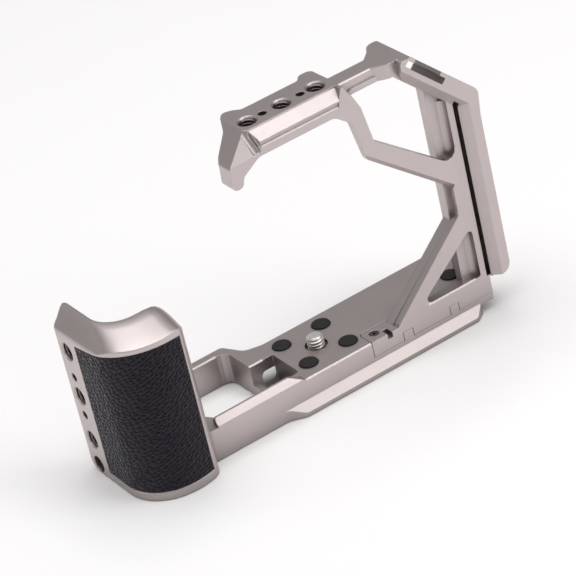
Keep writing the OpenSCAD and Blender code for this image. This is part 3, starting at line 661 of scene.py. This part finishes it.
def dotted_pad(sizes, low, high):
    """A pad on a grid of angle and radius: straight side, an edge rounded by a quarter circle, and a
    top whose height is lowered between dots by the product of two cosines of X and Y."""
    columns, edge_rows, top_rows = 96, 6, 30
    bend, core, fade, level = 0.3 * MM, 0.02 * MM, 0.3 * MM, 0.01 * MM
    middle = (low + high) / 2
    radius = (high.x - low.x) / 2
    angle = round_angles(columns)
    turn = np.linspace(0, math.pi / 2, edge_rows)[:, None]
    side_r = np.vstack([[[core], [radius]], radius - bend + bend * np.cos(turn)])
    side_z = np.vstack([[[low.z], [low.z]], high.z - bend + bend * np.sin(turn)])
    top_r = np.linspace(radius - bend, core, top_rows)[1:, None]
    r = np.vstack([side_r, top_r]) + 0 * angle
    z = np.vstack([side_z, np.full_like(top_r, high.z)]) + 0 * angle
    x, y = r * np.cos(angle), r * np.sin(angle)
    wave = 2 * math.pi / sizes.dot_pitch
    dots = 0.5 - 0.5 * np.cos(wave * x) * np.cos(wave * y)
    near = np.clip((radius - bend - r) / fade, 0, 1)
    z = z - sizes.dot_height * dots * near * (z > high.z - level)
    points = np.stack([x + middle.x, y + middle.y, z], axis=-1).reshape(-1, 3)
    rows, cols = r.shape
    faces = grid_quads(rows, cols, round_cols=True).tolist()
    faces.append(list(range(cols))[::-1])
    faces.append([(rows - 1) * cols + i for i in range(cols)])
    return points, faces


# Leather


class CAGE_OT_leather(bpy.types.Operator):
    """Pebbled leather bent round the grip"""

    bl_idname = "cage.leather"
    bl_label = "Grip leather"

    def execute(self, context):
        sizes, colours = context.scene.cage_sizes, context.scene.cage_colours
        hide = pebbled_leather(colours)
        points, faces = leather_cover(sizes)
        piece = add_piece("grip_leather_pebbled", points, faces, hide, "cage", sharp=75)
        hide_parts("grip_leather")
        return {"FINISHED"}


def rounded_corner(before, here, after, radius, step):
    """Points of the arc that rounds a corner: its middle lies on the corner's bisector at radius /
    sin(half angle)."""
    u = (before - here) / np.linalg.norm(before - here)
    w = (after - here) / np.linalg.norm(after - here)
    half = math.acos(float(u @ w)) / 2
    middle = here + (u + w) / np.linalg.norm(u + w) * radius / math.sin(half)
    p = here + u * radius / math.tan(half) - middle
    q = here + w * radius / math.tan(half) - middle
    start = math.atan2(p[1], p[0])
    sweep = (math.atan2(q[1], q[0]) - start + math.pi) % (2 * math.pi) - math.pi
    a = start + sweep * np.linspace(0, 1, max(3, int(abs(sweep) * radius / step) + 1))
    return middle + radius * np.stack([np.cos(a), np.sin(a)], axis=1)


def grip_path(step):
    """The leather's path round the grip, in mm: down the outer face, round the front and the nose, and
    part of the way round the end, spaced evenly along its length. Returns points, outward normals and
    length."""
    corners = np.array(GRIP_CORNERS, float)
    arcs = [
        rounded_corner(corners[i - 1], corners[i], corners[i + 1], r, step)
        for i, r in enumerate(GRIP_RADII, 1)
    ]
    arcs[-1] = arcs[-1][: int(len(arcs[-1]) * LEATHER_LAST_TURN) + 1]
    rough = np.vstack([[LEATHER_START], *arcs])
    run = np.concatenate([[0], np.cumsum(np.linalg.norm(np.diff(rough, axis=0), axis=1))])
    count = int(run[-1] / step) + 1
    even = np.linspace(0, run[-1], count)
    path = np.stack([np.interp(even, run, rough[:, i]) for i in (0, 1)], axis=1)
    along = np.gradient(path, axis=0)
    along /= np.linalg.norm(along, axis=1, keepdims=True)
    return path, np.stack([along[:, 1], -along[:, 0]], axis=1), even


def pebbles(u, v, seed):
    """Height of embossed pebbles from 0 in a crease to 1 on top: one seeded point in each cell of a
    square grid, and the height is a quarter circle of the difference between the distances to the
    second and the nearest, times a dome that falls with the square of the distance to the nearest."""
    cells, margin, spread = 128, 0.15, 0.7
    crease_width, dome, least_lift = 0.55, 0.55, 0.75
    chance = np.random.default_rng(seed)
    jitter = chance.random((cells, cells, 3))
    cu, cv = np.floor(u).astype(int), np.floor(v).astype(int)
    near = np.full(u.shape, 9.0)
    second = np.full(u.shape, 9.0)
    lift = np.zeros(u.shape)
    for du in (-1, 0, 1):
        for dv in (-1, 0, 1):
            j = jitter[(cu + du) % cells, (cv + dv) % cells]
            pu = cu + du + margin + spread * j[..., 0]
            pv = cv + dv + margin + spread * j[..., 1]
            d = np.hypot(pu - u, pv - v)
            closer = d < near
            second = np.where(closer, near, np.minimum(second, d))
            lift = np.where(closer, j[..., 2], lift)
            near = np.where(closer, d, near)
    gap = np.clip((second - near) / crease_width, 0, 1)
    crown = 1 - dome * np.minimum(near, 1) ** 2
    return np.sqrt(1 - (1 - gap) ** 2) * crown * (least_lift + (1 - least_lift) * lift)


def leather_cover(sizes):
    """The leather on a grid of length along the grip's path and height, in mm until its end. Each point
    stands out along the path's normal by the proud height, less a quarter circle near the edges and
    less the creases' depth. The top edge is a sloping plane, the four corners are quarter circles, and
    the back is a plain strip closed at both ends."""
    step, low, proud, thick, bend, corner = 0.24, 3.4, 0.2, 1.1, 0.55, 2.6
    lean, seed, edge_crease = math.radians(24), 7, 0.3
    path, normal, run = grip_path(step)
    plane, slope = LEATHER_TOP_POINT, LEATHER_TOP_NORMAL
    fall = slope[0] * (path[:, 0] - plane[0]) + slope[1] * (path[:, 1] - plane[1])
    top = plane[2] - fall / slope[2]
    rows = int((top.max() - low) / step)
    share = np.linspace(0, 1, rows)[None, :]
    into = np.clip(corner - np.minimum(run, run[-1] - run), 0, corner)
    round_off = corner - np.sqrt(corner**2 - into**2)
    low = low + round_off
    top = top - round_off
    z = low[:, None] + (top - low)[:, None] * share
    s = run[:, None] + 0 * z
    sides = np.minimum(s, run[-1] - s)
    ends = np.minimum(z - low[:, None], top[:, None] - z)
    inset = np.minimum(sides, ends)
    drop = np.clip(bend - inset, 0, bend)
    drop = bend - np.sqrt(np.maximum(bend**2 - drop**2, 0))
    along = (s * math.cos(lean) + z * math.sin(lean)) / (sizes.grain_length / MM)
    across = (z * math.cos(lean) - s * math.sin(lean)) / (sizes.grain_width / MM)
    crease = (1 - pebbles(along, across, seed)) * sizes.grain_depth / MM
    out = proud - drop - crease * np.clip(inset / bend, edge_crease, 1)
    level = path[:, None, :] + normal[:, None, :] * out[..., None]
    front = np.concatenate([level, z[..., None]], axis=-1)
    back = path - normal * (thick - proud)
    back_low = np.column_stack([back, low])
    back_top = np.column_stack([back, top])
    cols, n = rows, len(path)
    points = np.vstack([front.reshape(-1, 3), back_low, back_top]) * MM
    i = np.arange(n - 1)
    fl, bl, bt = i * cols, n * cols + i, n * cols + n + i
    ft = fl + cols - 1
    faces = grid_quads(n, cols).tolist()
    faces += np.stack([fl, fl + cols, bl + 1, bl], axis=1)[:, ::-1].tolist()
    faces += np.stack([ft, ft + cols, bt + 1, bt], axis=1).tolist()
    faces += np.stack([bl, bl + 1, bt + 1, bt], axis=1)[:, ::-1].tolist()
    faces.append([*range(cols), n * cols + n, n * cols])
    last = (n - 1) * cols
    faces.append([*range(last, last + cols), n * cols + 2 * n - 1, n * cols + n - 1][::-1])
    return points, faces


# Stage


class CAGE_OT_stage(bpy.types.Operator):
    """Floor, soft lights and the camera"""

    bl_idname = "cage.stage"
    bl_label = "Stage"

    def execute(self, context):
        add_floor(context.scene)
        add_lights(context.scene)
        add_camera(context.scene)
        return {"FINISHED"}


def add_floor(scene):
    """A matt white table, a flat grid just under the base."""
    half, lines, drop = 6.0, 9, 0.3 * MM
    made, tree, out = new_material("matt_white_table")
    skin = add_node(
        tree,
        "BsdfPrincipled",
        {"Base Color": (*scene.cage_colours.floor, 1), "Roughness": 0.9},
    )
    tree.links.new(skin.outputs["BSDF"], out.inputs["Surface"])
    across = np.linspace(-half, half, lines)
    x, y = np.meshgrid(across, across, indexing="xy")
    points = np.stack([x, y, np.full_like(x, -drop)], axis=-1).reshape(-1, 3)
    mesh = bpy.data.meshes.new("floor")
    mesh.from_pydata(points.tolist(), [], grid_quads(lines, lines).tolist())
    mesh.materials.append(made)
    floor = bpy.data.objects.new("floor", mesh)
    scene.collection.objects.link(floor)


def add_lights(scene):
    """Softboxes and a pale room. A softbox's power is its radiance times pi times its area."""
    for name, spot, aim, size, radiance in SOFTBOXES:
        lamp = bpy.data.lights.new(name, "AREA")
        lamp.shape = "RECTANGLE"
        lamp.size, lamp.size_y = size
        lamp.energy = radiance * math.pi * size[0] * size[1]
        holder = bpy.data.objects.new(name, lamp)
        holder.location = spot
        towards = Vector(aim) - Vector(spot)
        holder.rotation_euler = towards.to_track_quat("-Z", "Y").to_euler()
        scene.collection.objects.link(holder)
    world = bpy.data.worlds.new("studio")
    world.use_nodes = True
    sky = world.node_tree.nodes["Background"].inputs
    sky["Color"].default_value = (*linear(STUDIO_COLOUR), 1)
    sky["Strength"].default_value = STUDIO_STRENGTH
    scene.world = world
    scene.view_settings.view_transform = "Standard"


def add_camera(scene):
    """The photo's camera: it looks along turn and tilt, and its up and right are turned by roll."""
    lens = bpy.data.cameras.new("photo_camera")
    lens.lens, lens.sensor_width = CAMERA_LENS, CAMERA_SENSOR
    lens.clip_start, lens.clip_end = 0.05, 50.0
    camera = bpy.data.objects.new("photo_camera", lens)
    turn, tilt, roll = (math.radians(v) for v in CAMERA_ANGLES)
    flat = math.cos(tilt)
    look = Vector((flat * math.sin(turn), flat * math.cos(turn), -math.sin(tilt)))
    side = look.cross(Vector((0, 0, 1))).normalized()
    up = side.cross(look)
    right = side * math.cos(roll) - up * math.sin(roll)
    up = side * math.sin(roll) + up * math.cos(roll)
    turned = Matrix((right, up, -look)).transposed().to_4x4()
    camera.matrix_world = Matrix.Translation(CAMERA_PLACE) @ turned
    scene.collection.objects.link(camera)
    scene.camera = camera


# Sidebar and start


CLASSES = (
    CageSizes,
    CageColours,
    CAGE_OT_metal,
    CAGE_OT_grip,
    CAGE_OT_fasteners,
    CAGE_OT_camera_screw,
    CAGE_OT_threads,
    CAGE_OT_pads,
    CAGE_OT_leather,
    CAGE_OT_stage,
)
STEPS = tuple(c for c in CLASSES if issubclass(c, bpy.types.Operator))


class CAGE_PT_pieces(bpy.types.Panel):
    """Lists the pieces and their sizes in the sidebar"""

    bl_idname = "CAGE_PT_pieces"
    bl_label = "Camera cage"
    bl_space_type = "VIEW_3D"
    bl_region_type = "UI"
    bl_category = "Cage"

    def draw(self, context):
        for group in (context.scene.cage_sizes, context.scene.cage_colours):
            for key in group.__annotations__:
                self.layout.prop(group, key)
        for step in STEPS:
            self.layout.operator(step.bl_idname)


def register():
    for cls in (*CLASSES, CAGE_PT_pieces):
        bpy.utils.register_class(cls)
    bpy.types.Scene.cage_sizes = PointerProperty(type=CageSizes)
    bpy.types.Scene.cage_colours = PointerProperty(type=CageColours)


def unregister():
    del bpy.types.Scene.cage_colours
    del bpy.types.Scene.cage_sizes
    for cls in reversed((*CLASSES, CAGE_PT_pieces)):
        bpy.utils.unregister_class(cls)


def main():
    register()
    bpy.ops.cage.metal()
    bpy.ops.cage.grip()
    bpy.ops.cage.fasteners()
    bpy.ops.cage.camera_screw()
    bpy.ops.cage.threads()
    bpy.ops.cage.pads()
    bpy.ops.cage.leather()
    bpy.ops.cage.stage()


if __name__ == "__main__":
    main()
